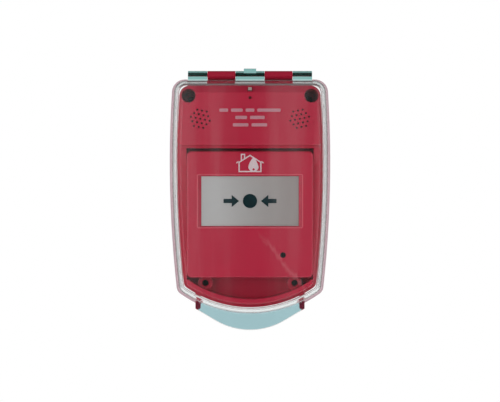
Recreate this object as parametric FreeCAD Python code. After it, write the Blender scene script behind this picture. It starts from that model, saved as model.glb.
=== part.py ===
"""Manual call point in a red guard with a sounder head and a clear lift cover.

Sizes are in millimetres. X runs to the right, Z up and +Y into the wall. The wall's face is the
plane y = 0, so everything stands out of it towards -Y. The origin lies on the wall's face behind
the centre of the call point.
"""
import FreeCAD, Part
import math
import os

V = FreeCAD.Vector

# ---- outlines: bowed sides about a widest line, a flat top and a curved foot
WIDEST_Z = 37.0
SIDE_SPAN = 756.2          # how far the side arcs' centres lie past the middle
FOOT_SPAN = 28.2           # foot radius less the half width
FLANGE_HALF, FLANGE_TOP, FLANGE_LOW = 52.4, 92.6, -67.4
FLANGE_T = 3.0
TONGUE_X, TONGUE_LOW = (35.6, 39.4), -68.6

# ---- guard moulding
HEAD_FACE_Y = -42.0
WALL_EDGE_Y = -25.0
HEAD_UNDER_Z = 47.9
POCKET_TOP_Z = 46.0          # the swoop runs on under the head down to here
SWOOP_R = 17.0
POCKET_HALF = 44.4
POCKET_FLOOR_Y = -8.0
FLOOR_T = 2.5
BEVEL_Z, BEVEL_TOP_Z, BEVEL_Y = 84.0, 89.2, -37.5
SKIN = 2.5
EDGE_ROUND = 1.4
FLANGE_ROUND = 0.6
CAVITY_X = (-45.6, 45.6)
CAVITY_Z = (50.4, 86.8)
CAVITY_BEVEL = [(-39.6, 84.5), (-37.5, 86.9), (-39.6, 86.9)]
REAR_PLATE_T = 2.0

# ---- fixings to the wall
TOP_FIX_X, TOP_FIX_Z, WELL_R, WELL_TUBE_R = 42.4, 82.0, 4.85, 6.4
LOW_FIX_X, LOW_FIX_Z, BOSS_R, BOSS_Y = 31.7, -48.9, 5.3, -16.0
FIX_R = 2.25
SEAT_Y = -6.0
CABLE_R, CABLE_Z = 10.0, -22.0
PAD_HALF = 6.0

# ---- sounder
GRILLE_X, GRILLE_Z, GRILLE_PITCH, GRILLE_R, GRILLE_TURN = 34.2, 65.9, 3.3, 0.7, 12.0
SOUNDER_R = 10.2
POST_X, POST_Z, POST_R, POST_FOOT_R = 28.0, (53.0, 82.4), 2.4, 3.2
BOARD_Y = -26.8
BOARD_T = 1.6
LED_Z, LED_R = 80.4, 1.0
PLUNGER_HALF, PLUNGER_Z = 1.2, (85.2, 86.2)

MARKING_HEIGHT = 2.2
PRINT_Y = (HEAD_FACE_Y - 0.12, HEAD_FACE_Y)
MARKINGS = ((71.8, 21.1, (3, 4, 3, 8)), (66.8, 10.1, (4, 5)), (61.7, 11.8, (5, 5)))

# ---- lift cover and its hinge
COVER_BACK_Y, COVER_FRONT_Y, COVER_WALL = -3.2, -50.0, 2.2
COVER_ROUND = 3.0
HINGE_Y, HINGE_Z, KNUCKLE_R, PIN_R, RUNNING = -6.0, 99.9, 2.9, 1.2, 0.05
FIXED_KNUCKLE = (10.5, 30.5)
OUTER_KNUCKLE = (30.7, 44.5)
INNER_KNUCKLE = (4.4, 10.3)
BLOCK_TOP_Z = 104.3
WEB_LOW_Z = 92.1
TAB_R, TAB_LOW, TAB_HALF, TAB_T = 48.7, -83.5, 39.2, 3.0
TAB_SLOPE = 30.6            # how steeply the tab's straight flanks rise, in degrees

# ---- call point
FACE_Y, FRAME_HALF, FRAME_T, FRAME_BACK_Y = -32.0, 44.0, 2.6, -22.4
WINDOW_HALF, WINDOW_Z = 34.0, (-8.2, 26.6)
WINDOW_BEVEL = (2.6, 1.1, 1.6)         # across, up, deep
BACKBOX_HALF, BACKBOX_WALL = 42.4, 2.0
ELEMENT_Y = (-29.1, -27.6)
KEY_X, KEY_Z, KEY_R = 23.0, -28.4, 1.95
LEVER_Y, LEVER_Z, LEVER_PIN_R = -20.0, 22.0, 1.0
SWITCH_Z = 16.0
CALL_BOARD_Y = (-12.6, -11.0)
TERMINALS_X, TERMINALS_Z, TERMINALS_PITCH = -22.0, -8.0, 5.0


# ------------------------------------------------------------------ small helpers
def box(x, y, z):
    """A block between three pairs of limits."""
    return Part.makeBox(x[1] - x[0], y[1] - y[0], z[1] - z[0], V(x[0], y[0], z[0]))


def rod(radius, x, z, y):
    """A round bar along Y at x, z between the two limits y."""
    return Part.makeCylinder(radius, y[1] - y[0], V(x, y[0], z), V(0, 1, 0))


def bar(radius, y, z, x):
    """A round bar along X at y, z between the two limits x."""
    return Part.makeCylinder(radius, x[1] - x[0], V(x[0], y, z), V(1, 0, 0))


def join(*shapes):
    return shapes[0].multiFuse(list(shapes[1:])).removeSplitter()


def cut(shape, *tools):
    return shape.cut(list(tools)).removeSplitter()


def flip(shape):
    """The same shape on the other side of the middle plane."""
    return shape.mirror(V(0, 0, 0), V(1, 0, 0))


def both(shape):
    return [shape, flip(shape)]


def loop_of(points):
    """A closed wire of straight edges through (x, z) pairs in the plane y = 0."""
    spots = [V(x, 0, z) for x, z in points]
    return Part.makePolygon(spots + [spots[0]])


def slab(points, y):
    """A straight-sided block with the outline of (x, z) pairs, between the two limits y."""
    face = Part.Face(loop_of(points))
    face.translate(V(0, y[0], 0))
    return face.extrude(V(0, y[1] - y[0], 0))


def side_profile(points, half):
    """A block with an outline of (y, z) pairs, between x = -half and half."""
    spots = [V(-half, y, z) for y, z in points]
    return Part.Face(Part.makePolygon(spots + [spots[0]])).extrude(V(2 * half, 0, 0))


def rim_bevel(radius, x, z, y, size):
    """The tool that bevels the rim of a hole whose mouth lies in the plane y."""
    return Part.makeCone(radius + size + 0.1, radius, size + 0.1, V(x, y - 0.1, z), V(0, 1, 0))


def edges_at(shape, y):
    """The edges that lie in the plane y."""
    return [e for e in shape.Edges if abs(e.BoundBox.YMin - y) < 1e-4 and abs(e.BoundBox.YMax - y) < 1e-4]


def round_block(x, y, z, radius):
    """A block whose four edges along Y are rounded."""
    block = box(x, y, z)
    upright = [e for e in block.Edges if e.BoundBox.YLength > 1e-3]
    return block.makeFillet(radius, upright)


def shield(half, top, low, top_corner, foot_corner, y):
    """The closed outline that the flange, the guard and the cover share, in the plane y."""
    side_r = half + SIDE_SPAN
    foot_r = half + FOOT_SPAN
    side_c = V(-SIDE_SPAN, y, WIDEST_Z)
    foot_c = V(0, y, low + foot_r)

    top_z = top - top_corner
    top_x = math.sqrt((side_r - top_corner) ** 2 - (top_z - WIDEST_Z) ** 2) - SIDE_SPAN
    top_c = V(top_x, y, top_z)

    gap = foot_c - side_c
    along = ((side_r - foot_corner) ** 2 - (foot_r - foot_corner) ** 2 + gap.Length ** 2) / (2 * gap.Length)
    across = math.sqrt((side_r - foot_corner) ** 2 - along ** 2)
    unit = gap / gap.Length
    corner_c = side_c + unit * along + V(unit.z, 0, -unit.x) * across

    def away(centre, towards, radius):
        step = towards - centre
        return centre + step * (radius / step.Length)

    a = V(top_x, y, top)
    b = away(side_c, top_c, side_r)
    c = away(side_c, corner_c, side_r)
    d = away(foot_c, corner_c, foot_r)
    top_mid = away(top_c, top_c + (a - top_c) + (b - top_c), top_corner)
    corner_mid = away(corner_c, corner_c + (c - corner_c) + (d - corner_c), foot_corner)
    right = [(a, top_mid, b), (b, V(half, y, WIDEST_Z), c), (c, corner_mid, d)]

    def other(p):
        return V(-p.x, p.y, p.z)

    edges = [Part.Arc(*arc).toShape() for arc in right]
    edges.append(Part.Arc(d, V(0, y, low), other(d)).toShape())
    edges += [Part.Arc(other(r), other(q), other(p)).toShape() for p, q, r in reversed(right)]
    edges.append(Part.LineSegment(other(a), a).toShape())
    return Part.Wire(edges)


def shield_slab(half, top, low, top_corner, foot_corner, y):
    face = Part.Face(shield(half, top, low, top_corner, foot_corner, y[0]))
    return face.extrude(V(0, y[1] - y[0], 0))


def shield_draft(back, front):
    """A block that tapers from one shield outline to another."""
    return Part.makeLoft([shield(*back), shield(*front)], True, True)


# ------------------------------------------------------------------ guard
def grille_spots(side):
    """Centres of one grille's 19 holes: a hexagon of rows 3-4-5-4-3, turned a little."""
    turn = math.radians(GRILLE_TURN) * side
    spots = []
    for row in range(-2, 3):
        count = 5 - abs(row)
        for i in range(count):
            x = (i - (count - 1) / 2) * GRILLE_PITCH
            z = row * GRILLE_PITCH * math.sqrt(3) / 2
            turned_x = x * math.cos(turn) - z * math.sin(turn)
            turned_z = x * math.sin(turn) + z * math.cos(turn)
            spots.append((side * GRILLE_X + turned_x, GRILLE_Z + turned_z))
    return spots


def guard_outside():
    """Flange, tongues, drafted moulding, low side walls that swoop up to the head, and knuckles."""
    flange = shield_slab(FLANGE_HALF, FLANGE_TOP, FLANGE_LOW, 7.4, 5.0, (-FLANGE_T, 0))
    flange = flange.makeFillet(FLANGE_ROUND, edges_at(flange, -FLANGE_T))
    tongue = round_block(TONGUE_X, (-FLANGE_T, 0), (TONGUE_LOW, -50), 1.2)
    moulding = shield_draft(
        (50.7, 91.1, -65.0, 7.0, 6.0, -FLANGE_T + 0.2),
        (48.7, 88.9, -62.0, 6.0, 5.0, HEAD_FACE_Y),
    )
    moulding = moulding.makeFillet(1.6, edges_at(moulding, HEAD_FACE_Y))
    before = HEAD_FACE_Y - 1
    bevel = side_profile([(before, BEVEL_Z - 1), (BEVEL_Y, BEVEL_TOP_Z), (BEVEL_Y, 95), (before, 95)], 60)
    low_front = box((-60, 60), (-60, WALL_EDGE_Y), (-80, HEAD_UNDER_Z - SWOOP_R))
    below_head = box((-60, 60), (-60, HEAD_FACE_Y), (-80, HEAD_UNDER_Z))
    swoop = bar(SWOOP_R, HEAD_FACE_Y, HEAD_UNDER_Z - SWOOP_R, (-60, 60))
    moulding = cut(moulding, bevel, low_front, below_head, swoop)
    moulding = moulding.makeFillet(EDGE_ROUND, head_edges(moulding))
    x0, x1 = FIXED_KNUCKLE
    knuckle = join(
        bar(KNUCKLE_R, HINGE_Y, HINGE_Z, (x0, x1)),
        box((x0, x1), (HINGE_Y, 0), (97.2, HINGE_Z + KNUCKLE_R)),
        box((x0, x1), (-FLANGE_T, 0), (90, 98)),
    )
    return join(flange, moulding, *both(tongue), *both(knuckle))


def head_edges(moulding):
    """The head's long edges at its bevel and lower lip, and the front edges of walls and swoops."""
    found = []
    for e in moulding.Edges:
        limits = e.BoundBox
        flat = limits.YLength < 0.01
        along_x = flat and limits.ZLength < 0.01
        long_edge = along_x and limits.YMin < -30
        wall_edge = flat and not along_x and abs(limits.YMin - WALL_EDGE_Y) < 0.01
        above_wall = limits.ZMin > HEAD_UNDER_Z - SWOOP_R - 0.1 and limits.ZMax < HEAD_UNDER_Z + 0.1
        swoop_edge = above_wall and not flat and limits.YMax < WALL_EDGE_Y + 0.1
        if long_edge or wall_edge or swoop_edge:
            found.append(e)
    return found


def call_point_pocket():
    """The space that the call point stands in, open to the front and closed by the floor."""
    deep = (-60, POCKET_FLOOR_Y)
    square = box((-POCKET_HALF, POCKET_HALF), deep, (-46, POCKET_TOP_Z))
    round_foot = shield_slab(47.4, POCKET_TOP_Z, -59.8, 1.0, 4.0, deep)
    return join(square, round_foot.common(box((-60, 60), deep, (-70, -40))))


def head_cavity():
    """The hollow of the head, open to the back, clear of the two screw wells."""
    room = box(CAVITY_X, (HEAD_FACE_Y + SKIN, 1), CAVITY_Z)
    tubes = both(rod(WELL_TUBE_R, TOP_FIX_X, TOP_FIX_Z, (HEAD_FACE_Y, 2)))
    posts = []
    for x in (-POST_X, POST_X):
        for z in POST_Z:
            posts.append(rod(POST_FOOT_R, x, z, (HEAD_FACE_Y, BOARD_Y)))
            posts.append(rod(POST_R, x, z, (BOARD_Y, -REAR_PLATE_T)))
    return cut(room, side_profile(CAVITY_BEVEL, 60), *tubes, *posts)


def floor_hollow():
    """The cable space behind the floor, clear of the lower fixing tubes and the centre pad."""
    room = shield_slab(47.4, 46.0, -59.8, 3.0, 4.0, (POCKET_FLOOR_Y + FLOOR_T, 1))
    pad = box((-PAD_HALF, PAD_HALF), (-12, 2), (-PAD_HALF, PAD_HALF))
    return cut(room, pad, *both(rod(BOSS_R, LOW_FIX_X, LOW_FIX_Z, (-12, 2))))


def guard_body():
    body = cut(guard_outside(), call_point_pocket(), head_cavity(), floor_hollow())
    boss = rod(BOSS_R, LOW_FIX_X, LOW_FIX_Z, (BOSS_Y, -6))
    bosses = both(boss.makeFillet(0.6, edges_at(boss, BOSS_Y)))
    body = join(body, *bosses)
    tools = [gasket_ring(0.05), rod(CABLE_R, 0, CABLE_Z, (-12, 1))]
    for x in (-TOP_FIX_X, TOP_FIX_X):
        tools.append(rod(WELL_R, x, TOP_FIX_Z, (-60, SEAT_Y)))
        tools.append(rim_bevel(WELL_R, x, TOP_FIX_Z, HEAD_FACE_Y, 0.5))
        tools.append(rod(FIX_R, x, TOP_FIX_Z, (-60, 1)))
    for x in (-LOW_FIX_X, LOW_FIX_X):
        tools.append(rod(FIX_R, x, LOW_FIX_Z, (-20, 1)))
        tools.append(rim_bevel(FIX_R, x, LOW_FIX_Z, BOSS_Y, 0.5))
    for x in (-POST_X, POST_X):
        tools += [rod(0.95, x, z, (-12, 1)) for z in POST_Z]
    for side in (-1, 1):
        tools += [rod(GRILLE_R, x, z, (-60, -35)) for x, z in grille_spots(side)]
    tools.append(rod(LED_R + RUNNING, 0, LED_Z, (-60, -35)))
    tools.append(box((-1.7, 1.7), (-60, -37.9), (84.8, 91)))
    tools.append(bar(PIN_R + RUNNING, HINGE_Y, HINGE_Z, (-60, 60)))
    tools.append(box((-8, 8), (-5, 1), (44, 52)))
    tools += [rod(1.25, x, 0, (-12, 1)) for x in (-30.2, 30.2)]
    return cut(body, *tools)


def gasket_ring(slack):
    """A soft ring that follows the flange's edge in a groove of its back face."""
    outer = shield_slab(51.3 + slack, 91.5 + slack, -66.3 - slack, 6.1, 4.0, (-1.5, 0))
    inner = shield_slab(49.3 - slack, 89.5 - slack, -64.3 + slack, 4.1, 3.0, (-1.5, 0))
    return cut(outer, inner)


def rear_plate():
    """The plate that closes the head from behind, with notches round the well tubes."""
    limits_x = (CAVITY_X[0] + 0.2, CAVITY_X[1] - 0.2)
    limits_z = (CAVITY_Z[0] + 1.6, CAVITY_Z[1] - 0.2)
    plate = box(limits_x, (-REAR_PLATE_T, 0), limits_z)
    tools = both(rod(WELL_TUBE_R + 0.2, TOP_FIX_X, TOP_FIX_Z, (-5, 1)))
    for x in (-POST_X, POST_X):
        tools += [rod(1.3, x, z, (-5, 1)) for z in POST_Z]
        tools += [rod(2.45, x, z, (-1.0, 1)) for z in POST_Z]
    return cut(plate, *tools)


def small_screw(x, z, head_y, head_r, shank_r, length, head_t=1.0):
    """A pan-head screw driven towards -Y, with a cross slot in its head."""
    head = rod(head_r, x, z, (head_y - head_t, head_y))
    shank = rod(shank_r, x, z, (head_y - head_t - length, head_y - head_t))
    slot = box((x - head_r * 0.7, x + head_r * 0.7), (head_y - 0.5, head_y + 1), (z - 0.3, z + 0.3))
    return cut(join(head, shank), slot)


# ------------------------------------------------------------------ sounder
def grille_membrane(side):
    return rod(SOUNDER_R, side * GRILLE_X, GRILLE_Z, (HEAD_FACE_Y + SKIN, HEAD_FACE_Y + SKIN + 0.4))


def sounder_can(side):
    """The sounder's plastic can, open to the front over the disc."""
    y0 = HEAD_FACE_Y + SKIN + 0.4
    can = rod(SOUNDER_R, side * GRILLE_X, GRILLE_Z, (y0, y0 + 7.0))
    return cut(can, rod(SOUNDER_R - 1.2, side * GRILLE_X, GRILLE_Z, (y0, y0 + 5.6)))


def sounder_disc(side):
    y0 = HEAD_FACE_Y + SKIN + 2.6
    plate = rod(SOUNDER_R - 1.2, side * GRILLE_X, GRILLE_Z, (y0, y0 + 0.3))
    return join(plate, rod(SOUNDER_R - 3.4, side * GRILLE_X, GRILLE_Z, (y0 - 0.25, y0)))


def sounder_board():
    """The circuit board that stands on the four posts' shoulders."""
    board = box((-40, 40), (BOARD_Y, BOARD_Y + BOARD_T), (52.0, 84.6))
    tools = both(rod(WELL_TUBE_R + 0.6, TOP_FIX_X, TOP_FIX_Z, (-30, -20)))
    tools += [rod(POST_R + 0.05, x, z, (-30, -20)) for x in (-POST_X, POST_X) for z in POST_Z]
    return cut(board, *tools)


def status_led():
    lens = rod(LED_R, 0, LED_Z, (HEAD_FACE_Y + 0.6, HEAD_FACE_Y + SKIN + 0.2))
    dome = rod(1.5, 0, LED_Z, (HEAD_FACE_Y + SKIN + 0.2, -34))
    legs = [rod(0.25, x, LED_Z, (-34, BOARD_Y)) for x in (-0.7, 0.7)]
    return join(lens, dome, *legs)


def cover_switch():
    """The small detector switch behind the slot at the head's top."""
    case = box((-5.5, 5.5), (-37.2, -31.5), (83.8, 86.6))
    half = PLUNGER_HALF + 0.1
    room = box((-half, half), (-40, -33), (PLUNGER_Z[0] - 0.1, PLUNGER_Z[1] + 0.1))
    legs = [rod(0.4, x, 84.0, (-31.5, BOARD_Y)) for x in (-4, 4)]
    return join(cut(case, room), *legs)


def cover_switch_plunger():
    stem = box((-PLUNGER_HALF, PLUNGER_HALF), (-42, -36), PLUNGER_Z)
    tip = box((-PLUNGER_HALF, PLUNGER_HALF), (-43.2, -40.2), (85.2, 87.4))
    return join(stem, tip)


def setting_switches():
    """A row of four small slide switches on the board's back."""
    y = BOARD_Y + BOARD_T
    case = box((-40, -29), (y, y + 3), (66, 72))
    slots = [box((-38.4 + i * 2.5, -37.0 + i * 2.5), (y + 2.2, y + 4), (67.2, 70.8)) for i in range(4)]
    keys = [box((-38.3 + i * 2.5, -37.1 + i * 2.5), (y + 2.0, y + 2.8), (67.3, 69.0)) for i in range(4)]
    return join(cut(case, *slots), *keys)


def wire_terminals(x, y, z, depth, ways, pitch):
    """A terminal block whose open ways face down, with a screw hole over each way."""
    width = ways * pitch
    case = box((x, x + width), y, (z, z + depth))
    tools = []
    for i in range(ways):
        middle = x + (i + 0.5) * pitch
        tools.append(box((middle - 1.3, middle + 1.3), (y[0] + 3.0, y[1] - 1.2), (z - 1, z + depth * 0.6)))
        tools.append(rod(1.4, middle, z + depth / 2, (y[0] - 1, y[0] + 3.5)))
    return cut(case, *tools)


def battery():
    """A block battery that lies across the head behind the board."""
    return round_block((-24.2, 21.2), (-20.2, -2.7), (54.6, 81.0), 2.0)


def battery_snap():
    """The two snap contacts and their cap at the battery's right end."""
    cap = box((23.0, 25.2), (-19.6, -3.4), (55.4, 80.2))
    studs = [bar(2.6, -11.45, z, (21.2, 23.0)) for z in (61.5, 74.1)]
    return join(cap, *studs)


def marking_bar(z, half, height, runs):
    """A broken line of plain printed dashes on the head's face. Runs are the dashes' shares."""
    share = 2 * half / (sum(runs) + len(runs) - 1)
    dashes = []
    x = -half
    for run in runs:
        limits = (x, x + run * share)
        dashes.append(round_block(limits, PRINT_Y, (z - height / 2, z + height / 2), height * 0.3))
        x = limits[1] + share
    return Part.makeCompound(dashes)


# ------------------------------------------------------------------ lift cover
def cover_shell():
    """A drafted clear shell with a round front edge and a small rim at its back."""
    back, front = COVER_BACK_Y, COVER_FRONT_Y
    outer = shield_draft((57.0, 96.0, -72.7, 8.6, 6.0, back), (53.0, 91.5, -67.0, 8.0, 6.5, front))
    outer = outer.makeFillet(COVER_ROUND, edges_at(outer, front))
    w = COVER_WALL
    inner = shield_draft(
        (57.0 - w, 96.0 - w, -72.7 + w, 8.6 - w, 6.0 - w, back),
        (53.0 - w, 91.5 - w, -67.0 + w, 8.0 - w, 6.5 - w, front + w),
    )
    inner = inner.makeFillet(COVER_ROUND * 0.45, edges_at(inner, front + w))
    rim = shield_slab(57.8, 96.8, -73.5, 9.4, 6.4, (back - 1.8, back))
    return outer, inner, rim


def cover_tab():
    """The tab that a thumb lifts: straight flanks that run into a round lower edge."""
    turn = math.radians(TAB_SLOPE)
    bend_x = TAB_R * math.sin(turn)
    bend_z = TAB_LOW + TAB_R * (1 - math.cos(turn))
    side_z = bend_z + (TAB_HALF - bend_x) * math.tan(turn)
    y = COVER_BACK_Y - TAB_T
    spots = [V(-bend_x, y, bend_z), V(-TAB_HALF, y, side_z), V(-TAB_HALF, y, -60), V(TAB_HALF, y, -60),
             V(TAB_HALF, y, side_z), V(bend_x, y, bend_z)]
    foot = Part.Arc(spots[-1], V(0, y, TAB_LOW), spots[0]).toShape()
    outline = Part.Wire(Part.makePolygon(spots).Edges + [foot])
    tab = Part.Face(outline).extrude(V(0, TAB_T, 0))
    lower = [e for e in edges_at(tab, y) + edges_at(tab, COVER_BACK_Y) if e.BoundBox.ZMax < -66]
    return tab.makeFillet(0.7, lower)


def cover_knuckles():
    """The cover's knuckles, whose webs reach through its top wall, and the block in the middle."""
    web_y = (HINGE_Y - KNUCKLE_R, HINGE_Y + KNUCKLE_R - 0.2)
    parts = []
    for limits in (OUTER_KNUCKLE, INNER_KNUCKLE):
        ring = bar(KNUCKLE_R, HINGE_Y, HINGE_Z, limits)
        web = box(limits, web_y, (WEB_LOW_Z, HINGE_Z))
        parts += both(join(ring, web))
    block = box((-INNER_KNUCKLE[0], INNER_KNUCKLE[0]), web_y, (WEB_LOW_Z, BLOCK_TOP_Z))
    top_edges = [e for e in block.Edges if e.BoundBox.XLength > 1 and e.BoundBox.ZMin > BLOCK_TOP_Z - 0.1]
    parts.append(block.makeFillet(1.0, top_edges))
    return parts


def lift_cover():
    outer, inner, rim = cover_shell()
    striker = box((-1.6, 1.6), (COVER_FRONT_Y + 1, -43.5), (85.0, 88.2))
    shell = cut(join(outer, rim, cover_tab()), inner)
    shell = join(shell, striker, *cover_knuckles())
    return cut(shell, bar(PIN_R + RUNNING, HINGE_Y, HINGE_Z, (-60, 60)))


def hinge_pin():
    return bar(PIN_R, HINGE_Y, HINGE_Z, (-44.3, 44.3))


# ------------------------------------------------------------------ call point
def call_point_frame():
    """The square front with its bevelled window, key hole and the bearing of the key cam."""
    half = FRAME_HALF
    skin = round_block((-half, half), (FACE_Y, FRAME_BACK_Y), (-half, half), 3.4)
    skin = skin.makeFillet(1.1, edges_at(skin, FACE_Y))
    room = box((-half + 2, half - 2), (FACE_Y + FRAME_T, 0), (-half + 2, half - 2))
    wx, (z0, z1) = WINDOW_HALF, WINDOW_Z
    across, up, deep = WINDOW_BEVEL
    window = box((-wx, wx), (-40, 0), (z0, z1))
    wide = Part.makePolygon([V(x, FACE_Y, z) for x, z in (
        (-wx - across, z0 - up), (wx + across, z0 - up), (wx + across, z1 + up), (-wx - across, z1 + up),
        (-wx - across, z0 - up))])
    tight = Part.makePolygon([V(x, FACE_Y + deep, z) for x, z in (
        (-wx, z0), (wx, z0), (wx, z1), (-wx, z1), (-wx, z0))])
    bevel = Part.makeLoft([wide, tight], True, True)
    bearing = rod(3.6, KEY_X, KEY_Z, (FACE_Y + 1, -24.4))
    frame = join(cut(skin, room, window, bevel), bearing)
    return cut(frame, rod(KEY_R + RUNNING, KEY_X, KEY_Z, (-40, 0)))


def house_symbol():
    """A simple house and flame in raised lines, 0.2 mm proud of the face."""
    y = (FACE_Y - 0.2, FACE_Y)
    t = 0.85
    outline = [(-8.0, 29.4), (8.0, 29.4), (8.0, 36.4), (0, 41.6), (-8.0, 36.4)]
    inside = [(-8.0 + t, 29.4 + t), (8.0 - t, 29.4 + t), (8.0 - t, 36.4 - t * 0.45), (0, 41.6 - t * 1.2),
              (-8.0 + t, 36.4 - t * 0.45)]
    walls = cut(slab(outline, y), slab(inside, (y[0] - 1, y[1] + 1)))
    eaves = [slab([(-9.4, 35.4), (-8.0, 36.3), (-8.0, 37.2), (-9.6, 36.1)], y)]
    eaves += [flip(e) for e in eaves]
    stack = cut(box((-6.4, -3.4), y, (36.8, 42.2)), box((-5.6, -4.2), (y[0] - 1, y[1] + 1), (36.0, 41.4)))
    stack = cut(stack, slab([(-8.0, 36.4), (0, 41.6), (0, 30), (-8, 30)], (y[0] - 1, y[1] + 1)))
    flame = Part.Wire([
        Part.Arc(V(2.6, 0, 40.0), V(-0.6, 0, 35.0), V(-1.2, 0, 32.9)).toShape(),
        Part.Arc(V(-1.2, 0, 32.9), V(2.4, 0, 29.7), V(6.0, 0, 32.9)).toShape(),
        Part.Arc(V(6.0, 0, 32.9), V(5.0, 0, 35.8), V(2.6, 0, 40.0)).toShape(),
    ])
    flame = Part.Face(flame)
    flame.translate(V(0, y[0], 0))
    flame = flame.extrude(V(0, 0.2, 0))
    flame = cut(flame, rod(0.8, 2.5, 31.3, (y[0] - 1, y[1] + 1)))
    clearing = rod(4.4, 2.4, 33.2, (y[0] - 1, y[1] + 1))
    walls = cut(walls, clearing.common(box((-9, 9), (-40, 0), (30.6, 44))))
    return join(walls, *eaves, stack, flame)


def call_point_seal():
    """The soft strip between the front and the back box."""
    half = FRAME_HALF - 2.2
    y = (FRAME_BACK_Y - 1.2, FRAME_BACK_Y)
    inside = half - 1.8
    return cut(box((-half, half), y, (-half, half)), box((-inside, inside), (-40, 0), (-inside, inside)))


def lever_ear(side):
    return box((min(side * 9, side * 11.5), max(side * 9, side * 11.5)), (-22.2, -9.7), (19.6, 24.4))


def call_point_backbox():
    """The box behind the front, with its cable hole, lever ears and board stands."""
    half, wall = BACKBOX_HALF, BACKBOX_WALL
    y0 = FRAME_BACK_Y
    case = round_block((-half, half), (y0, POCKET_FLOOR_Y), (-half, half), 2.0)
    case = cut(case, box((-half + wall, half - wall), (-60, -9.7), (-half + wall, half - wall)))
    ears = [lever_ear(side) for side in (-1, 1)]
    stands = [rod(2.2, x, z, (CALL_BOARD_Y[1], -9.5)) for x in (-30, 30) for z in (-33, 14)]
    holes = [rod(CABLE_R + 1.5, 0, CABLE_Z, (-20, 0)), bar(LEVER_PIN_R, LEVER_Y, LEVER_Z, (-20, 20))]
    holes += [rod(1.6, x, 0, (-20, 0)) for x in (-30.2, 30.2)]
    return cut(join(case, *ears, *stands), *holes)


def backbox_screw(x):
    """A screw from inside the back box into the guard's floor."""
    head = rod(2.8, x, 0, (-11.3, -9.7))
    shank = rod(1.2, x, 0, (-9.7, -5.0))
    return cut(join(head, shank), box((x - 2, x + 2), (-12, -10.7), (-0.35, 0.35)))


def call_point_board():
    board = box((-36, 36), CALL_BOARD_Y, (-37, 18.2))
    tools = [rod(CABLE_R + 2.0, 0, CABLE_Z, (-20, 0))]
    tools += [rod(3.2, x, 0, (-20, 0)) for x in (-30.2, 30.2)]
    return cut(board, *tools)


def call_point_switch():
    """The micro switch that the lever presses."""
    case = box((-6.4, 6.4), (-17.2, CALL_BOARD_Y[0]), (13.0, 18.2))
    return cut(case, rod(1.0 + RUNNING, 0, SWITCH_Z, (-20, -15.0)))


def call_point_switch_button():
    return rod(1.0, 0, SWITCH_Z, (-18.85, -16.6))


def terminal_screw(x, z, y):
    """A slotted screw in one way of a terminal block."""
    return cut(rod(1.3, x, z, y), box((x - 1.1, x + 1.1), (y[0] - 1, y[0] + 0.6), (z - 0.25, z + 0.25)))


def operating_element():
    """The white plate in the window. It has a small step where it runs behind the frame."""
    half = WINDOW_HALF - 0.15
    low, high = WINDOW_Z
    face = box((-half, half), (-30.4, ELEMENT_Y[1]), (low + 0.15, high - 0.15))
    shelf = box((-WINDOW_HALF - 2, WINDOW_HALF + 2), ELEMENT_Y, (low - 2, high + 2))
    return join(face, shelf)


def element_marks():
    """A dot between two arrows that point at it, printed on the operating element."""
    y = (-30.5, -30.4)
    z = 9.3
    dot = rod(5.0, 0, z, y)
    tail, neck, tip, shaft, head = 18.5, 12.8, 7.6, 1.5, 4.3
    arrow = slab([(tail, z - shaft), (neck, z - shaft), (neck, z - head), (tip, z), (neck, z + head),
                  (neck, z + shaft), (tail, z + shaft)], y)
    return Part.makeCompound([dot, arrow, flip(arrow)])


def trip_lever():
    """The lever that the operating element pushes: a barrel, an arm and a pad."""
    barrel = bar(2.1, LEVER_Y, LEVER_Z, (-8.6, 8.6))
    arm = box((-6, 6), (LEVER_Y - 1, LEVER_Y + 1), (5, LEVER_Z))
    pad = box((-4.5, 4.5), (-27.3, LEVER_Y), (6, 10))
    return cut(join(barrel, arm, pad), bar(LEVER_PIN_R + RUNNING, LEVER_Y, LEVER_Z, (-20, 20)))


def lever_pin():
    return bar(LEVER_PIN_R, LEVER_Y, LEVER_Z, (-11.5, 11.5))


def key_cam():
    """The turning core of the key hole, with a key slot in front and a cam lobe behind."""
    core = rod(KEY_R, KEY_X, KEY_Z, (FACE_Y + 0.8, -22.8))
    disc = rod(4.2, KEY_X, KEY_Z, (-24.3, -22.8))
    lobe = box((KEY_X, KEY_X + 7), (-24.3, -22.8), (KEY_Z - 2, KEY_Z + 2))
    slot = box((KEY_X - 0.45, KEY_X + 0.45), (-40, -28.5), (KEY_Z - 1.4, KEY_Z + 1.4))
    return cut(join(core, disc, lobe), slot)


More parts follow.
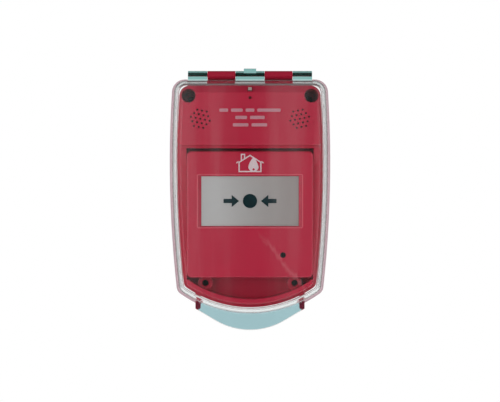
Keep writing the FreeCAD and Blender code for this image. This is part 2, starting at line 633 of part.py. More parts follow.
# ------------------------------------------------------------------ the whole object
def nodes():
    """Every sub-part by its name."""
    made = {
        "guard_body": guard_body(),
        "rear_plate": rear_plate(),
        "wall_gasket": gasket_ring(0),
        "sounder_board": sounder_board(),
        "status_led": status_led(),
        "cover_switch": cover_switch(),
        "cover_switch_plunger": cover_switch_plunger(),
        "setting_switches": setting_switches(),
        "sounder_terminals": wire_terminals(29.0, (-25.2, -17.2), 66.5, 7.0, 3, 3.6),
        "battery": battery(),
        "battery_snap": battery_snap(),
        "lift_cover": lift_cover(),
        "hinge_pin": hinge_pin(),
        "call_point_frame": call_point_frame(),
        "house_symbol": house_symbol(),
        "call_point_seal": call_point_seal(),
        "call_point_backbox": call_point_backbox(),
        "call_point_board": call_point_board(),
        "call_point_switch": call_point_switch(),
        "call_point_switch_button": call_point_switch_button(),
        "call_point_terminals": wire_terminals(
            TERMINALS_X, (-21.4, CALL_BOARD_Y[0]), TERMINALS_Z, 9.0, 4, TERMINALS_PITCH),
        "operating_element": operating_element(),
        "element_marks": element_marks(),
        "trip_lever": trip_lever(),
        "lever_pin": lever_pin(),
        "key_cam": key_cam(),
    }
    for name, side in (("left", -1), ("right", 1)):
        made[name + "_grille_membrane"] = grille_membrane(side)
        made[name + "_sounder_can"] = sounder_can(side)
        made[name + "_sounder_disc"] = sounder_disc(side)
        made[name + "_backbox_screw"] = backbox_screw(side * 30.2)
    number = 0
    for x in (-POST_X, POST_X):
        for z in POST_Z:
            number += 1
            made["rear_plate_screw_%d" % number] = small_screw(x, z, 0, 2.4, 0.9, 7.0)
    for i, (z, half, runs) in enumerate(MARKINGS):
        made["marking_bar_%d" % (i + 1)] = marking_bar(z, half, MARKING_HEIGHT, runs)
    for i in range(4):
        x = TERMINALS_X + (i + 0.5) * TERMINALS_PITCH
        made["terminal_screw_%d" % (i + 1)] = terminal_screw(x, TERMINALS_Z + 4.5, (-20.9, -18.0))
    return made


def main():
    os.makedirs("parts", exist_ok=True)
    for name, shape in nodes().items():
        shape.exportStep("parts/%s.step" % name)
        facts = (name, shape.isValid(), len(shape.Solids), shape.Volume)
        print("%-28s valid %s  solids %d  volume %9.1f" % facts)


main()
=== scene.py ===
# %% [markdown]
# # A manual call point in its guard
# The object is a red square alarm button. It sits in the recess of a red guard, under a clear cover
# that lifts on a hinge. Its solids come ready made from the CAD frame. This script gives them their
# finishes, adds the pieces that need mesh work, and sets up a plain studio round them.

# %% Load the frame
import math
import bmesh
import bpy
from mathutils import Matrix, Vector


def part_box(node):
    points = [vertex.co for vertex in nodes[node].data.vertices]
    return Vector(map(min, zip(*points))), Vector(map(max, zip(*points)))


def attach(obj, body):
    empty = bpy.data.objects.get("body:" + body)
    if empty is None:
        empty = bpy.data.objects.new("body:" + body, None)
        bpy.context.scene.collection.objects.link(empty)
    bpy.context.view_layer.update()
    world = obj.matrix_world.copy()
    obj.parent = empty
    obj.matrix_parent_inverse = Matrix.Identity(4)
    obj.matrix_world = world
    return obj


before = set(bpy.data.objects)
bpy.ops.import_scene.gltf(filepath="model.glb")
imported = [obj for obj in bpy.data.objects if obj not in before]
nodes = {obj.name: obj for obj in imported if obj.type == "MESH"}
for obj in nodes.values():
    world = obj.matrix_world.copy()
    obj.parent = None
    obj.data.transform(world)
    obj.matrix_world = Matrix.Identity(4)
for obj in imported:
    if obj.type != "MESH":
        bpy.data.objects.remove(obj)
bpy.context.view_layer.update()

# %% [markdown]
# ## Helpers for materials
# Every finish here is a Principled BSDF with a few texture nodes in front of it. The nodes could be
# placed by hand in the editor. Three small functions do it here, so that each finish reads as a list
# of what it is made of.
#
# The textures read Object coordinates, which are metres in the object's own frame, so a grain of
# 0.3 mm is the same size on every piece. All pieces stay at the origin, so no pattern has to be moved
# to its piece.

# %% A new material, its nodes and its groups
MM = 0.001


def new_material(name, **sockets):
    """An empty Principled material. Keyword values go straight onto the shader's sockets."""
    material = bpy.data.materials.new(name)
    material.use_nodes = True
    shader = material.node_tree.nodes["Principled BSDF"]
    for socket, value in sockets.items():
        shader.inputs[socket.replace("_", " ")].default_value = value
    return material, material.node_tree, shader


def add(tree, kind, label="", **values):
    """A node of one kind, with values for its sockets by name."""
    node = tree.nodes.new(kind)
    node.label = label
    for socket, value in values.items():
        node.inputs[socket.replace("_", " ")].default_value = value
    return node


def place(tree, group, **values):
    """A shader group in a material, with its own values."""
    node = tree.nodes.new("ShaderNodeGroup")
    node.node_tree = group
    for socket, value in values.items():
        node.inputs[socket.replace("_", " ")].default_value = value
    return node


def wear(node_names, material):
    """Gives CAD nodes their material."""
    for name in node_names:
        data = nodes[name].data
        data.materials.clear()
        data.materials.append(material)
        for face in data.polygons:
            face.material_index = 0
    print(material.name, "on", ", ".join(node_names))


# %% [markdown]
# ## Moulded plastic
# A moulded part is never one flat colour. Its pigment drifts a little over centimetres, its skin has
# a fine grain from the tool, and handling leaves faint marks that show in the gloss. Each material
# could have its own copy of these nodes. One group makes all three instead, so the guard, the call
# point and the small black parts differ only in their values.

# %% The group and its sockets
SKIN_INPUTS = (
    ("Pigment", "NodeSocketColor", (0.5, 0.5, 0.5, 1)),
    ("Drift", "NodeSocketFloat", 0.06),
    ("Gloss", "NodeSocketFloat", 0.3),
    ("Handling", "NodeSocketFloat", 0.05),
    ("Grain size mm", "NodeSocketFloat", 0.5),
    ("Grain depth", "NodeSocketFloat", 0.1),
)
SKIN_OUTPUTS = (
    ("Color", "NodeSocketColor"),
    ("Roughness", "NodeSocketFloat"),
    ("Normal", "NodeSocketVector"),
)
skin = bpy.data.node_groups.new("moulded_skin", "ShaderNodeTree")
for name, kind, value in SKIN_INPUTS:
    skin.interface.new_socket(name=name, in_out="INPUT", socket_type=kind).default_value = value
for name, kind in SKIN_OUTPUTS:
    skin.interface.new_socket(name=name, in_out="OUTPUT", socket_type=kind)
skin_in = skin.nodes.new("NodeGroupInput")
skin_out = skin.nodes.new("NodeGroupOutput")
skin_spot = skin.nodes.new("ShaderNodeTexCoord").outputs["Object"]
print("skin sockets:", len(skin.interface.items_tree))

# %% Pigment that drifts over centimetres
DRIFTS_PER_METRE = 22.0
drift = add(skin, "ShaderNodeTexNoise", "pigment drift", Scale=DRIFTS_PER_METRE, Detail=2.0, Roughness=0.5)
swing = add(skin, "ShaderNodeMath", "swing about nothing")
swing.operation = "SUBTRACT"
swing.inputs[1].default_value = 0.5
amount = add(skin, "ShaderNodeMath", "amount of drift")
amount.operation = "MULTIPLY_ADD"
amount.inputs[2].default_value = 1.0
shade = skin.nodes.new("ShaderNodeVectorMath")
shade.operation = "SCALE"
skin.links.new(skin_spot, drift.inputs["Vector"])
skin.links.new(drift.outputs["Fac"], swing.inputs[0])
skin.links.new(swing.outputs[0], amount.inputs[0])
skin.links.new(skin_in.outputs["Drift"], amount.inputs[1])
skin.links.new(skin_in.outputs["Pigment"], shade.inputs[0])
skin.links.new(amount.outputs[0], shade.inputs["Scale"])
skin.links.new(shade.outputs[0], skin_out.inputs["Color"])
print("drift is about", round(1000 / DRIFTS_PER_METRE), "mm across")

# %% Handling marks in the gloss
MARKS_PER_METRE = 70.0
smear = add(skin, "ShaderNodeTexNoise", "handling marks", Scale=MARKS_PER_METRE, Detail=5.0, Roughness=0.65,
            Distortion=0.6)
rough = add(skin, "ShaderNodeMath", "handling on the gloss")
rough.operation = "MULTIPLY_ADD"
skin.links.new(skin_spot, smear.inputs["Vector"])
skin.links.new(smear.outputs["Fac"], rough.inputs[0])
skin.links.new(skin_in.outputs["Handling"], rough.inputs[1])
skin.links.new(skin_in.outputs["Gloss"], rough.inputs[2])
skin.links.new(rough.outputs[0], skin_out.inputs["Roughness"])
print("marks are about", round(1000 / MARKS_PER_METRE), "mm across")

# %% Grain from the tool
size = add(skin, "ShaderNodeMath", "grain frequency")
size.operation = "DIVIDE"
size.inputs[0].default_value = 1 / MM
grain = add(skin, "ShaderNodeTexNoise", "tool grain", Detail=2.0, Roughness=0.6)
bump = add(skin, "ShaderNodeBump", "grain relief", Distance=0.05 * MM)
skin.links.new(skin_in.outputs["Grain size mm"], size.inputs[1])
skin.links.new(skin_spot, grain.inputs["Vector"])
skin.links.new(size.outputs[0], grain.inputs["Scale"])
skin.links.new(grain.outputs["Fac"], bump.inputs["Height"])
skin.links.new(skin_in.outputs["Grain depth"], bump.inputs["Strength"])
skin.links.new(bump.outputs["Normal"], skin_out.inputs["Normal"])
print("nodes in the skin:", len(skin.nodes))


# %% A plastic that wears this skin
def moulded(name, pigment, drift, gloss, handling, grain_mm, depth, **sockets):
    """A plastic that uses the moulded skin group."""
    material, tree, shader = new_material(name, **sockets)
    surface = place(tree, skin, Pigment=(*pigment, 1), Drift=drift, Gloss=gloss, Handling=handling,
                    Grain_size_mm=grain_mm, Grain_depth=depth)
    for socket, target in (("Color", "Base Color"), ("Roughness", "Roughness"), ("Normal", "Normal")):
        tree.links.new(surface.outputs[socket], shader.inputs[target])
    return material


# %% [markdown]
# ### The two reds
# The guard is a glossy red moulding. The call point's front is the same red with a finer, slightly
# duller skin, because thumbs and keys touch it. Both are dark for a red, so that they do not glow.
# A plain red would do from afar, but its wide flat faces would look like paper.

# %% Guard red and call point red
RED = (0.60, 0.018, 0.058)
guard_red = moulded("guard_red", RED, 0.12, 0.16, 0.10, 0.9, 0.12, Specular_IOR_Level=0.4)
wear(["guard_body"], guard_red)
call_red = moulded("call_red", RED, 0.10, 0.18, 0.10, 0.35, 0.16, Specular_IOR_Level=0.4)
wear(["call_point_frame"], call_red)

# %% [markdown]
# ### The operating element
# The white plate in the window is darker and warmer towards its right end. That darker right end is
# painted shade. Lamps could do that, but they would change the reds as well, so the shade is painted
# as two pigments at the two ends. They could be painted in an image, but a position along X that
# blends from one to the other gives the same.

# %% Element white
def painted_shade_along_x(name, left, right):
    """A moulded plastic whose pigment goes from one tone at its left end to another at its right; the change
    is painted shade.
    """
    material = moulded(name, left, 0.05, 0.45, 0.10, 0.5, 0.10, Specular_IOR_Level=0.3)
    tree = material.node_tree
    spot = tree.nodes.new("ShaderNodeTexCoord")
    parts = tree.nodes.new("ShaderNodeSeparateXYZ")
    low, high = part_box("operating_element")
    reach = add(tree, "ShaderNodeMapRange", "along the plate", From_Min=low.x, From_Max=high.x)
    reach.interpolation_type = "SMOOTHSTEP"
    tone = tree.nodes.new("ShaderNodeMix")
    tone.data_type = "RGBA"
    tone.inputs["A"].default_value = (*left, 1)
    tone.inputs["B"].default_value = (*right, 1)
    surface = next(node for node in tree.nodes if node.type == "GROUP")
    tree.links.new(spot.outputs["Object"], parts.inputs[0])
    tree.links.new(parts.outputs["X"], reach.inputs["Value"])
    tree.links.new(reach.outputs["Result"], tone.inputs["Factor"])
    tree.links.new(tone.outputs["Result"], surface.inputs["Pigment"])
    return material


# The darker, warmer right end of the plate is painted shade.
element_white = painted_shade_along_x("element_white", (0.61, 0.585, 0.585), (0.39, 0.335, 0.325))
wear(["operating_element"], element_white)

# %% [markdown]
# ### Prints and small plastics
# The prints are ink a tenth or two of a millimetre thick, so they are solids of their own and only
# need a dull ink. The house is a pale print. The bars on the head are fainter, as worn prints
# are. Inside there are black cans and switches, rubber seals and green terminals.

# %% Ink, black and pale plastic, rubber and terminals
print_dark = moulded("print_dark", (0.001, 0.022, 0.028), 0.10, 0.60, 0.10, 0.2, 0.20,
                     Specular_IOR_Level=0.1)
wear(["element_marks"], print_dark)
print_pale = moulded("print_pale", (0.86, 0.68, 0.72), 0.10, 0.55, 0.10, 0.2, 0.20)
wear(["house_symbol"], print_pale)
print_worn = moulded("print_worn", (0.66, 0.27, 0.33), 0.25, 0.55, 0.10, 0.2, 0.20)
wear(["marking_bar_1", "marking_bar_2", "marking_bar_3"], print_worn)
pale_plastic = moulded("pale_plastic", (0.50, 0.36, 0.34), 0.06, 0.40, 0.10, 0.4, 0.15)
wear(["cover_switch_plunger", "call_point_switch_button", "trip_lever"], pale_plastic)
black_plastic = moulded("black_plastic", (0.016, 0.016, 0.018), 0.20, 0.45, 0.15, 0.4, 0.35)
wear(["cover_switch", "setting_switches", "call_point_switch", "left_sounder_can", "right_sounder_can",
      "battery_snap", "rear_plate", "call_point_backbox"], black_plastic)
rubber = moulded("gasket_rubber", (0.018, 0.018, 0.020), 0.25, 0.75, 0.10, 0.3, 0.60)
wear(["wall_gasket", "call_point_seal", "left_grille_membrane", "right_grille_membrane"], rubber)
terminal_plastic = moulded("terminal_plastic", (0.03, 0.20, 0.09), 0.10, 0.42, 0.12, 0.4, 0.20)
wear(["sounder_terminals", "call_point_terminals"], terminal_plastic)

# %% [markdown]
# ## Circuit boards, battery and metal
# These sit inside, and show when the object is taken apart or seen from behind. The boards have
# tracks under green lacquer. Tracks could be solids, but at this size a brick pattern with thin
# joints gives them well enough, and a clear coat over it is the lacquer.

# %% Board green
def board_material():
    """Green lacquer over a net of tracks."""
    material, tree, shader = new_material("board_green", Coat_Weight=0.6, Coat_Roughness=0.12)
    spot = tree.nodes.new("ShaderNodeTexCoord")
    turn = add(tree, "ShaderNodeMapping", "upright face", Rotation=(math.radians(90), 0, 0))
    tracks = add(tree, "ShaderNodeTexBrick", "tracks", Color1=(0.010, 0.085, 0.040, 1),
                 Color2=(0.014, 0.11, 0.05, 1), Mortar=(0.03, 0.20, 0.08, 1), Scale=160.0, Mortar_Size=0.05)
    bump = add(tree, "ShaderNodeBump", "track relief", Strength=0.3, Distance=0.04 * MM)
    tree.links.new(spot.outputs["Object"], turn.inputs["Vector"])
    tree.links.new(turn.outputs["Vector"], tracks.inputs["Vector"])
    tree.links.new(tracks.outputs["Color"], shader.inputs["Base Color"])
    tree.links.new(tracks.outputs["Fac"], bump.inputs["Height"])
    tree.links.new(bump.outputs["Normal"], shader.inputs["Normal"])
    return material


board_green = board_material()
wear(["sounder_board", "call_point_board"], board_green)

# %% [markdown]
# ### The battery's sleeve
# A block battery is a steel can in a printed sleeve of two tones: a dark body and a copper-coloured
# end. A colour ramp with a hard step along X makes the two, measured on the battery's own box.

# %% Battery sleeve in two tones
SLEEVE_STEP = 0.62


def battery_material():
    """A dark sleeve with a copper-coloured end."""
    material, tree, shader = new_material("battery_case", Roughness=0.3)
    spot = tree.nodes.new("ShaderNodeTexCoord")
    parts = tree.nodes.new("ShaderNodeSeparateXYZ")
    low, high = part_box("battery")
    reach = add(tree, "ShaderNodeMapRange", "along the battery", From_Min=low.x, From_Max=high.x)
    band = tree.nodes.new("ShaderNodeValToRGB")
    band.color_ramp.interpolation = "CONSTANT"
    band.color_ramp.elements[0].color = (0.02, 0.022, 0.026, 1)
    band.color_ramp.elements[1].position = SLEEVE_STEP
    band.color_ramp.elements[1].color = (0.42, 0.24, 0.06, 1)
    tree.links.new(spot.outputs["Object"], parts.inputs[0])
    tree.links.new(parts.outputs["X"], reach.inputs["Value"])
    tree.links.new(reach.outputs["Result"], band.inputs["Fac"])
    tree.links.new(band.outputs["Color"], shader.inputs["Base Color"])
    return material


battery_case = battery_material()
wear(["battery"], battery_case)

# %% [markdown]
# ### Metals
# Screws and pins are turned, and a turned face has fine marks. A smooth metal would mirror the studio
# and look like chrome. A fine noise moves the tone, the roughness and the relief together by a little,
# which is enough at this size. The hinge pin is dark plated steel, seen through green plastic.

# %% Steel, dark pin and brass
def metal(name, colour, roughness, brush_mm, depth):
    """A metal with fine turning marks."""
    material, tree, shader = new_material(name, Metallic=1.0)
    spot = tree.nodes.new("ShaderNodeTexCoord")
    marks = add(tree, "ShaderNodeTexNoise", "turning marks", Scale=1 / (brush_mm * MM), Detail=3.0)
    tone = add(tree, "ShaderNodeMix", "uneven tone")
    tone.data_type = "RGBA"
    tone.inputs["A"].default_value = (*[c * 0.85 for c in colour], 1)
    tone.inputs["B"].default_value = (*colour, 1)
    rough = add(tree, "ShaderNodeMapRange", "uneven gloss", To_Min=roughness - 0.06, To_Max=roughness + 0.06)
    bump = add(tree, "ShaderNodeBump", "turning relief", Strength=depth, Distance=0.02 * MM)
    tree.links.new(spot.outputs["Object"], marks.inputs["Vector"])
    tree.links.new(marks.outputs["Fac"], tone.inputs["Factor"])
    tree.links.new(tone.outputs["Result"], shader.inputs["Base Color"])
    tree.links.new(marks.outputs["Fac"], rough.inputs["Value"])
    tree.links.new(rough.outputs["Result"], shader.inputs["Roughness"])
    tree.links.new(marks.outputs["Fac"], bump.inputs["Height"])
    tree.links.new(bump.outputs["Normal"], shader.inputs["Normal"])
    return material


steel = metal("steel", (0.60, 0.61, 0.63), 0.28, 0.3, 0.2)
rear_screws = ["rear_plate_screw_%d" % i for i in range(1, 5)]
terminal_screws = ["terminal_screw_%d" % i for i in range(1, 5)]
wear(["lever_pin", "left_backbox_screw", "right_backbox_screw"] + rear_screws + terminal_screws, steel)
dark_steel = metal("dark_steel", (0.09, 0.27, 0.23), 0.32, 0.3, 0.2)
wear(["hinge_pin"], dark_steel)
key_steel = metal("key_steel", (0.020, 0.022, 0.024), 0.40, 0.3, 0.2)
wear(["key_cam"], key_steel)
brass = metal("disc_brass", (0.62, 0.44, 0.18), 0.30, 0.3, 0.2)
wear(["left_sounder_disc", "right_sounder_disc"], brass)

# %% [markdown]
# ### The indicator
# The small lamp over the marking bars is off, so its lens is a dark red bead. A see-through lens could
# be made, but nothing bright stands behind it. A glossy dark plastic with a clear coat gives the same
# small point of light.

# %% The indicator's lens
lens_red = moulded("led_lens", (0.12, 0.006, 0.010), 0.05, 0.12, 0.05, 0.5, 0.02,
                   Coat_Weight=0.6, Coat_Roughness=0.05)
wear(["status_led"], lens_red)

# %% [markdown]
# ## The clear cover
# The cover is clear polycarbonate about 2 mm thick. Thick clear plastic shows itself by what it
# bends and mirrors: bright and grey bands along the drafted sides, and a pale green-blue where the
# light runs a long way through it. Glass with the real wall thickness does that, where a thin
# see-through skin would not. Its shadow would be black, because lamps are not traced through glass,
# so shadow rays meet a plain clear tint instead.
#
# Long flow marks from the moulding run up and down the shell. They bend the view a very little, and
# wiping has left its gloss uneven along the same lines.

# %% Clear polycarbonate
POLYCARBONATE_IOR = 1.58
SHADOW_TINT = (0.95, 0.97, 0.965, 1)


def clear_material(name, tint, marks_depth):
    """Clear plastic of one tint, with flow marks."""
    material, tree, shader = new_material(name, Base_Color=(*tint, 1), IOR=POLYCARBONATE_IOR,
                                          Transmission_Weight=1.0)
    spot = tree.nodes.new("ShaderNodeTexCoord")
    stretch = add(tree, "ShaderNodeMapping", "long in Z", Scale=(60.0, 60.0, 9.0))
    flow = add(tree, "ShaderNodeTexNoise", "flow marks", Scale=1.0, Detail=3.0, Roughness=0.55)
    bump = add(tree, "ShaderNodeBump", "flow relief", Strength=marks_depth, Distance=0.2 * MM)
    gloss = add(tree, "ShaderNodeMapRange", "wiped gloss", From_Min=0.55, From_Max=0.80, To_Max=0.05)
    through = add(tree, "ShaderNodeBsdfTransparent", "what a lamp meets", Color=SHADOW_TINT)
    path = tree.nodes.new("ShaderNodeLightPath")
    choice = tree.nodes.new("ShaderNodeMixShader")
    tree.links.new(spot.outputs["Object"], stretch.inputs["Vector"])
    tree.links.new(stretch.outputs["Vector"], flow.inputs["Vector"])
    tree.links.new(flow.outputs["Fac"], bump.inputs["Height"])
    tree.links.new(bump.outputs["Normal"], shader.inputs["Normal"])
    tree.links.new(flow.outputs["Fac"], gloss.inputs["Value"])
    tree.links.new(gloss.outputs["Result"], shader.inputs["Roughness"])
    tree.links.new(path.outputs["Is Shadow Ray"], choice.inputs["Fac"])
    tree.links.new(shader.outputs["BSDF"], choice.inputs[1])
    tree.links.new(through.outputs["BSDF"], choice.inputs[2])
    tree.links.new(choice.outputs["Shader"], tree.nodes["Material Output"].inputs["Surface"])
    return material


# %% [markdown]
# ### Where the plastic is thick or seen on its own
# The tab and the knuckles stand clear of the red, and there the green-blue of the plastic is plain
# to see. The tab's front is darker than the plastic alone would make it: that part of its tint is
# painted shade, for the grey seen through it. The rim round the back of the shell takes a dark red
# tint, which is a painted reflection of the red beside it.
# They could be pieces of their own, but then the real wall between them and the shell would be lost.
# All are part of the one cover, so only some of its faces take a deeper tint: the tab's front, the
# knuckles above the shell, and the rim.

# %% The cover's four tints
clear_cover = clear_material("clear_cover", (0.93, 0.965, 0.965), 0.10)
# The tab's tint is partly the plastic's green-blue and partly painted shade.
tab_tint_and_shade = clear_material("tab_tint_and_shade", (0.15, 0.34, 0.385), 0.04)
clear_knuckle = clear_material("clear_knuckle", (0.25, 0.49, 0.47), 0.04)
# The rim's dark red tint is a painted reflection of the red moulding beside it.
rim_painted_reflection = clear_material("rim_painted_reflection", (0.28, 0.14, 0.17), 0.04)
wear(["lift_cover"], clear_cover)
cover_data = nodes["lift_cover"].data
for tinted in (tab_tint_and_shade, clear_knuckle, rim_painted_reflection):
    cover_data.materials.append(tinted)
TAB_SLOT, KNUCKLE_SLOT, RIM_SLOT = 1, 2, 3
print("cover materials:", [material.name for material in cover_data.materials])

# %% Tints for the tab's front, the knuckles and the rim
TAB_BAND_Y = (-6.3 * MM, -6.1 * MM)
TAB_TOP_Z = -62.0 * MM
FACES_FRONT = -0.9
RIM_BAND_Y = (-5.01 * MM, -3.25 * MM)
RIM_TOP_Z = 97.0 * MM
KNUCKLE_Z = 98.5 * MM
for face in cover_data.polygons:
    at = face.center
    top = max(cover_data.vertices[i].co.z for i in face.vertices)
    on_tab = at.z < TAB_TOP_Z and TAB_BAND_Y[0] < at.y < TAB_BAND_Y[1] and face.normal.y < FACES_FRONT
    if top > KNUCKLE_Z:
        face.material_index = KNUCKLE_SLOT
    elif on_tab:
        face.material_index = TAB_SLOT
    elif top < RIM_TOP_Z and RIM_BAND_Y[0] < at.y < RIM_BAND_Y[1]:
        face.material_index = RIM_SLOT
print("tinted faces:", sum(face.material_index > 0 for face in cover_data.polygons))

# %% [markdown]
# ## Shade in the screw holes
# Each of the four wall fixings is closed at its wall end by a thin black rubber disc. The disc is
# painted shade: a dark sheet where the deep hole would be dark. A disc is round with a raised lip. A
# cylinder with insets would do, but a lathe shape has its lip in one step: an outline is spun once
# round the axis.

# %% A shape turned on a lathe
def new_piece(name, mesh, material):
    """An object at the origin for a finished mesh."""
    piece = bpy.data.objects.new(name, mesh)
    bpy.context.scene.collection.objects.link(piece)
    mesh.materials.append(material)
    return piece


def finish_mesh(shape, name):
    """Closes the seams of a bmesh, turns its faces outwards and makes it a smooth mesh."""
    bmesh.ops.remove_doubles(shape, verts=shape.verts, dist=1e-7)
    bmesh.ops.recalc_face_normals(shape, faces=shape.faces)
    for face in shape.faces:
        face.smooth = True
    mesh = bpy.data.meshes.new(name)
    shape.to_mesh(mesh)
    shape.free()
    return mesh


def revolve(name, outline, steps):
    """A closed mesh turned about Y from (radius, y) pairs that start and end on the axis."""
    shape = bmesh.new()
    line = [shape.verts.new((radius, y, 0)) for radius, y in outline]
    edges = [shape.edges.new(pair) for pair in zip(line, line[1:])]
    bmesh.ops.spin(shape, geom=line + edges, cent=(0, 0, 0), axis=(0, 1, 0), angle=2 * math.pi,
                   steps=steps, use_merge=True)
    return finish_mesh(shape, name)


# %% Dark rubber discs in the fixing holes, as painted shade
# The outline is in millimetres, as pairs of radius and Y. The wall is at Y = 0.
DISC = [(0, -0.55), (1.5, -0.62), (1.9, -0.95), (2.2, -0.95), (2.27, -0.85), (2.27, -0.25),
        (2.2, -0.15), (0, -0.15)]
DISC_STEPS = 48
# The fixings stand this many millimetres to each side of the middle, and this high.
FIXINGS = {"top": (42.4, 82.0), "low": (31.7, -48.9)}
# Each disc is painted shade: a dark sheet where the deep hole would be in shade.
for level, (across, height) in FIXINGS.items():
    for hand, side in (("left", -1), ("right", 1)):
        name = "shade_disc_%s_%s" % (level, hand)
        mesh = revolve(name, [(radius * MM, y * MM) for radius, y in DISC], DISC_STEPS)
        mesh.transform(Matrix.Translation((side * across * MM, 0, height * MM)))
        disc = new_piece(name, mesh, rubber)
        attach(disc, "guard")
        print(name, "faces:", len(mesh.polygons))

# %% [markdown]
# ## The window's bead
# A thin light line runs where the window's bevel meets the face, and it makes the bevel readable. It
# is made here as a soft bead of 0.4 mm radius, in a red a little paler than the rest. The paler red
# is a painted highlight.
#
# A curve with a round section would make a tube too. Here one ring of points goes round the window
# instead: it is spun a quarter turn at each corner and extruded along each side, and its end meets its
# start. So the bead is one closed tube, half sunk in the face, along the outer edge of the bevel.

# %% A tube round the window
BEAD_R = 0.4 * MM
BEAD_SIDES = 12
BEAD_Y = -31.95 * MM
BEAD_HALF = 36.6 * MM
BEAD_LOW_Z = -9.3 * MM
BEAD_TOP_Z = 27.7 * MM
CORNER_R = 0.8 * MM
CORNER_STEPS = 6
inner_x = BEAD_HALF - CORNER_R
inner_top = BEAD_TOP_Z - CORNER_R
inner_low = BEAD_LOW_Z + CORNER_R
centres = [Vector((x, BEAD_Y, z)) for x, z in (
    (inner_x, inner_top), (-inner_x, inner_top), (-inner_x, inner_low), (inner_x, inner_low))]


def window_tube(name):
    """A closed tube of round section that runs once round the window's bevel."""
    shape = bmesh.new()
    start = Matrix.Translation((BEAD_HALF, BEAD_Y, inner_top))
    bmesh.ops.create_circle(shape, segments=BEAD_SIDES, radius=BEAD_R, matrix=start)
    ring = shape.edges[:]
    for centre, following in zip(centres, centres[1:] + centres[:1]):
        turned = bmesh.ops.spin(shape, geom=ring, cent=centre, axis=(0, -1, 0), angle=math.pi / 2,
                                steps=CORNER_STEPS)["geom_last"]
        ring = [part for part in turned if isinstance(part, bmesh.types.BMEdge)]
        drawn = bmesh.ops.extrude_edge_only(shape, edges=ring)["geom"]
        points = [part for part in drawn if isinstance(part, bmesh.types.BMVert)]
        bmesh.ops.translate(shape, verts=points, vec=following - centre)
        ring = [part for part in drawn if isinstance(part, bmesh.types.BMEdge)
                and all(point in points for point in part.verts)]
    return finish_mesh(shape, name)


# The bead's paler red is a painted highlight.
bead_painted_highlight = moulded("bead_painted_highlight", (0.78, 0.10, 0.15), 0.20, 0.14, 0.10, 0.35, 0.10)
window_bead = new_piece("window_bead", window_tube("window_bead"), bead_painted_highlight)
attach(window_bead, "guard")
print("bead faces:", len(window_bead.data.polygons))

# %% [markdown]
# ## Studio
# The object stands in front of a plain white backdrop in a dim room. The world gives each ray what
# lies in its direction. Real cards and walls round the object would do the same, but a direction is
# quicker to trace and hides nothing. Straight ahead of the camera is the backdrop, the walls are grey,
# and the ceiling and the ground are darker. Camera rays that meet nothing see white.

# %% World and its helpers
world = bpy.data.worlds.new("studio")
bpy.context.scene.world = world
world.use_nodes = True
sky = world.node_tree


def ramp(source, low, high, start, end, label=""):
    """A value that goes smoothly from start to end while the source goes from low to high."""
    node = add(sky, "ShaderNodeMapRange", label, From_Min=low, From_Max=high, To_Min=start, To_Max=end)
    node.interpolation_type = "SMOOTHSTEP"
    sky.links.new(source, node.inputs["Value"])
    return node.outputs["Result"]


def calc(operation, *terms):
    """A math node over outputs of other nodes and plain numbers."""
    node = sky.nodes.new("ShaderNodeMath")
    node.operation = operation
    for socket, term in zip(node.inputs, terms):
        if isinstance(term, (int, float)):
            socket.default_value = term
        else:
            sky.links.new(term, socket)
    return node.outputs[0]


def product(first, *others):
    """All the terms multiplied."""
    for other in others:
        first = calc("MULTIPLY", first, other)
    return first


compass = sky.nodes.new("ShaderNodeTexCoord").outputs["Generated"]
direction = sky.nodes.new("ShaderNodeSeparateXYZ")
sky.links.new(compass, direction.inputs[0])
to_right, ahead, upward = direction.outputs
path = sky.nodes.new("ShaderNodeLightPath")
print("world:", world.name)

# %% [markdown]
# ### The room
# The walls are what the cover's sides mirror, so their grey is the grey of those bands. Two helps were
# set and have no cause in a real room. A ray that has gone through both walls of the cover sees
# a dimmed backdrop, which keeps the bands grey instead of white. A ray that was mirrored inside the
# plastic finds a little light wherever it goes, so that no band turns black.

# %% Walls, ceiling, ground and backdrop
WALL_GREY = 0.32
BEHIND_CAMERA = 0.02
THROUGH_WALLS = 0.28
TRAPPED = 0.28
walls = ramp(ahead, -0.96, -0.70, BEHIND_CAMERA, WALL_GREY, "camera side to walls")
ceiling = ramp(upward, 0.45, 0.95, 1.0, 0.30, "ceiling")
ground = ramp(upward, -0.95, -0.45, 0.40, 1.0, "ground")
dimmed = ramp(path.outputs["Transmission Depth"], 2.0, 4.0, 1.0, THROUGH_WALLS, "seen through two walls")
backdrop = product(ramp(ahead, 0.90, 0.95, 0.0, 1.0, "backdrop"), dimmed)
trapped = ramp(path.outputs["Glossy Depth"], 1.0, 2.0, 0.0, TRAPPED, "light that ran inside the plastic")
room = calc("MAXIMUM", calc("MAXIMUM", product(walls, ceiling, ground), backdrop), trapped)
print("wall grey:", WALL_GREY)

# %% [markdown]
# ### The card behind the camera
# The camera's own side is nearly black, but for a dim card behind it. The cover's flat front mirrors
# that card as a faint haze. The card has soft upright streaks, a gap in the middle where the camera
# stands, and one slanting edge, which shows as a thin pale line low on the right. A plain card would
# leave the front so even that the clear plastic could not be seen.

# %% Card with streaks and a gap
CARD = 0.26
STREAK = 0.55
stretch = add(sky, "ShaderNodeMapping", "tall streaks", Scale=(70.0, 1.0, 5.0))
streaks = add(sky, "ShaderNodeTexNoise", "streaks", Scale=1.0, Detail=2.0, Roughness=0.5)
sky.links.new(compass, stretch.inputs["Vector"])
sky.links.new(stretch.outputs["Vector"], streaks.inputs["Vector"])
near = ramp(ahead, -0.985, -0.97, 1.0, 0.0, "card")
tall = ramp(upward, -0.10, 0.06, 0.65, 1.0, "brighter above")
gap = ramp(calc("ABSOLUTE", to_right), 0.008, 0.024, 0.10, 1.0, "gap for the camera")
uneven = ramp(streaks.outputs["Fac"], 0.35, 0.65, 1.0 - STREAK, 1.0 + STREAK, "uneven")
card = product(near, tall, gap, uneven, CARD)
print("card:", CARD)

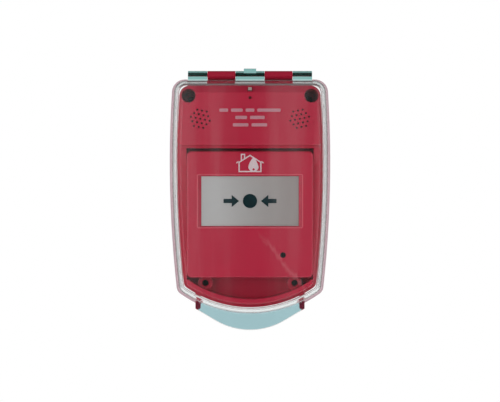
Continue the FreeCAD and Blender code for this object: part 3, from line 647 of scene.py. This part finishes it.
# %% Its slanting edge
SLANT = (0.774, 0.633)
SLANT_AT = -0.0112
SLANT_LIGHT = 0.40
across = calc("ADD", product(to_right, SLANT[0]), product(upward, SLANT[1]))
along = calc("SUBTRACT", product(to_right, SLANT[1]), product(upward, SLANT[0]))
off_line = calc("ABSOLUTE", calc("SUBTRACT", across, SLANT_AT))
line = product(
    ramp(off_line, 0.0003, 0.0024, SLANT_LIGHT, 0.0, "slanting edge"),
    ramp(along, 0.018, 0.045, 0.0, 1.0, "its start"),
    ramp(along, 0.085, 0.10, 1.0, 0.0, "its end"),
)
print("slant:", round(math.degrees(math.atan2(SLANT[0], SLANT[1]))), "degrees")

# %% [markdown]
# ### What the camera sees
# Everything that lights the plastic is now in one strength. Rays that come straight from the camera
# take white over it, as in a product picture. The plain view transform keeps that white and the reds
# as they were mixed.

# %% White for the camera
lit = calc("ADD", calc("ADD", room, card), product(line, near))
strength = calc("MAXIMUM", lit, path.outputs["Is Camera Ray"])
background = sky.nodes["Background"]
background.inputs["Color"].default_value = (1, 1, 1, 1)
sky.links.new(strength, background.inputs["Strength"])
bpy.context.scene.view_settings.view_transform = "Standard"
print("world nodes:", len(sky.nodes))

# %% [markdown]
# ### Light inside thick plastic
# A ray that enters the cover's round front edge runs down the wall and is mirrored many times before
# it leaves. With the usual few bounces it is given up on, and the wall goes black. More bounces let
# it out again, and the walls turn silver, as clear plastic does.

# %% Bounces
BOUNCES = 24
settings = bpy.context.scene.cycles
settings.max_bounces = BOUNCES
settings.glossy_bounces = BOUNCES
settings.transmission_bounces = BOUNCES
print("bounces:", BOUNCES)

# %% [markdown]
# ### Lamps
# Two soft boxes stand beside the camera, the left one about twice as strong, and two large panels
# stand at the sides. Hard lamps would put sharp spots on the cover. Large panels give wide soft bands
# instead, and leave only thin light lines on the rounded edges.

# %% Soft lamps
AIM = Vector((0, 0, 0.01))
FRONT_BOX = (0.6, 0.6)
SIDE_PANEL = (0.9, 1.2)


def softbox(name, spot, size, watts):
    """A white rectangle of light that faces the object."""
    lamp = bpy.data.lights.new(name, "AREA")
    lamp.shape = "RECTANGLE"
    lamp.size, lamp.size_y = size
    lamp.energy = watts
    stand = bpy.data.objects.new(name, lamp)
    bpy.context.scene.collection.objects.link(stand)
    stand.location = spot
    stand.rotation_euler = (AIM - Vector(spot)).to_track_quat("-Z", "Y").to_euler()
    print(name, watts, "W")


softbox("key_lamp", (-0.55, -0.95, 0.08), FRONT_BOX, 2.35)
softbox("fill_lamp", (0.60, -0.95, -0.02), FRONT_BOX, 1.1)
softbox("left_panel", (-0.80, -0.15, 0.05), SIDE_PANEL, 2.5)
softbox("right_panel", (0.80, -0.15, 0.05), SIDE_PANEL, 2.5)

# %% [markdown]
# ### Floor
# A pale round floor lies well below the object. It is out of the main picture, and shows in the views
# from above. It glows a little, so that it stays near the white of the backdrop.

# %% Pale floor
FLOOR_R = 0.62
FLOOR_Z = -0.26
FLOOR_SEGMENTS = 96
shape = bmesh.new()
bmesh.ops.create_circle(shape, cap_ends=True, segments=FLOOR_SEGMENTS, radius=FLOOR_R)
bmesh.ops.translate(shape, verts=shape.verts, vec=(0, 0, FLOOR_Z))
floor_mesh = bpy.data.meshes.new("floor")
shape.to_mesh(floor_mesh)
shape.free()
floor_white = moulded("floor_white", (0.86, 0.86, 0.85), 0.02, 0.7, 0.05, 5.0, 0.05,
                      Emission_Color=(1, 1, 1, 1), Emission_Strength=0.45)
floor = new_piece("floor", floor_mesh, floor_white)
print("floor radius:", FLOOR_R)

# %% [markdown]
# ### Camera
# The camera looks straight at the front from 0.86 m with a long lens, so the sides are seen only as
# thin bands. It stands level with the middle of the object.

# %% Camera
CAMERA_SPOT = (0.0, -0.855, 0.0093)
camera = bpy.data.cameras.new("camera")
camera.lens = 85
camera.sensor_width = 36
stand = bpy.data.objects.new("camera", camera)
bpy.context.scene.collection.objects.link(stand)
stand.location = CAMERA_SPOT
stand.rotation_euler = (math.radians(90), 0, 0)
bpy.context.scene.camera = stand
print("camera at:", CAMERA_SPOT)
